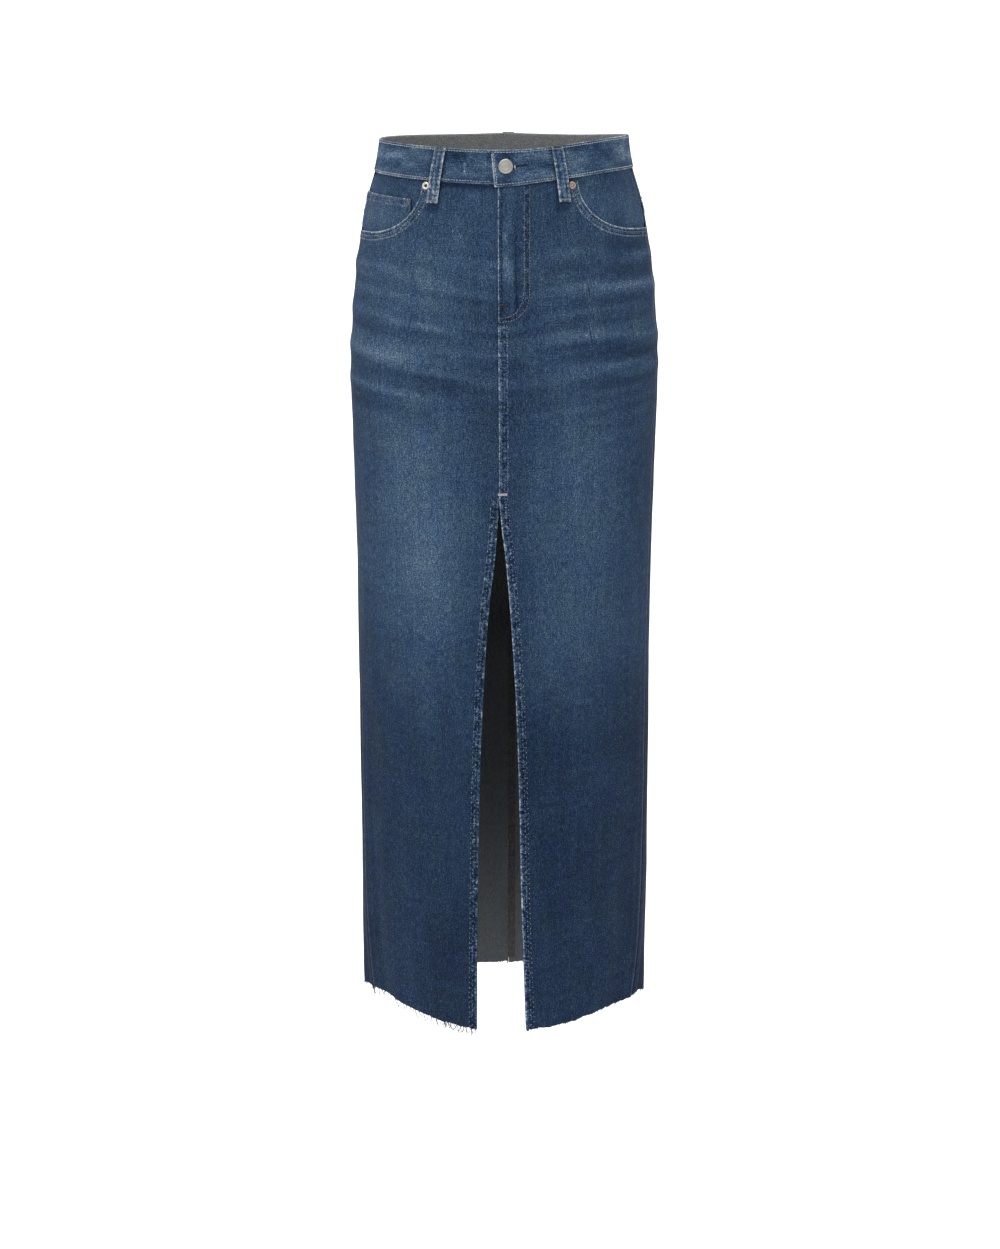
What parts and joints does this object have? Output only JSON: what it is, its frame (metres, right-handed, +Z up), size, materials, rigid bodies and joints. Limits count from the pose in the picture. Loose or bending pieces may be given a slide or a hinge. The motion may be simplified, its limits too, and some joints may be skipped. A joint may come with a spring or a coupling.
{
  "type": "denim skirt",
  "caption": "Long straight denim skirt with a deep front slit, zip fly and button, scooped front pockets, coin pocket, belt loops, back yoke and a raw frayed hem.",
  "frame": {"origin": "The centre of the waist opening, halfway up the waistband, where the wearer holds the skirt up.", "axes": "+Z up, the front with the fly and slit faces -Y, and +X is the wearer's left."},
  "size_m": [0.3461, 0.2683, 0.9972],
  "materials": {
    "denim": "mid blue washed cotton denim, matt twill",
    "denim_worn": "the same denim, worn lighter",
    "zip_tape": "dark blue woven tape",
    "button_metal": "dull silver, satin",
    "rivet_metal": "pale copper, polished by wear"
  },
  "bodies": {
    "root": {"front_left": "denim", "front_right": "denim", "back_left": "denim", "back_right": "denim", "yoke_left": "denim", "yoke_right": "denim", "waistband": "denim", "fly_facing": "denim", "zip": "zip_tape", "pocket_facing_left": "denim", "pocket_facing_right": "denim", "coin_pocket": "denim_worn", "belt_loop_front_left": "denim_worn", "belt_loop_front_right": "denim_worn", "belt_loop_back_left": "denim_worn", "belt_loop_back_right": "denim_worn", "belt_loop_centre_back": "denim_worn", "button": "button_metal", "rivet_left": "rivet_metal", "rivet_right": "rivet_metal"}
  },
  "joints": []
}
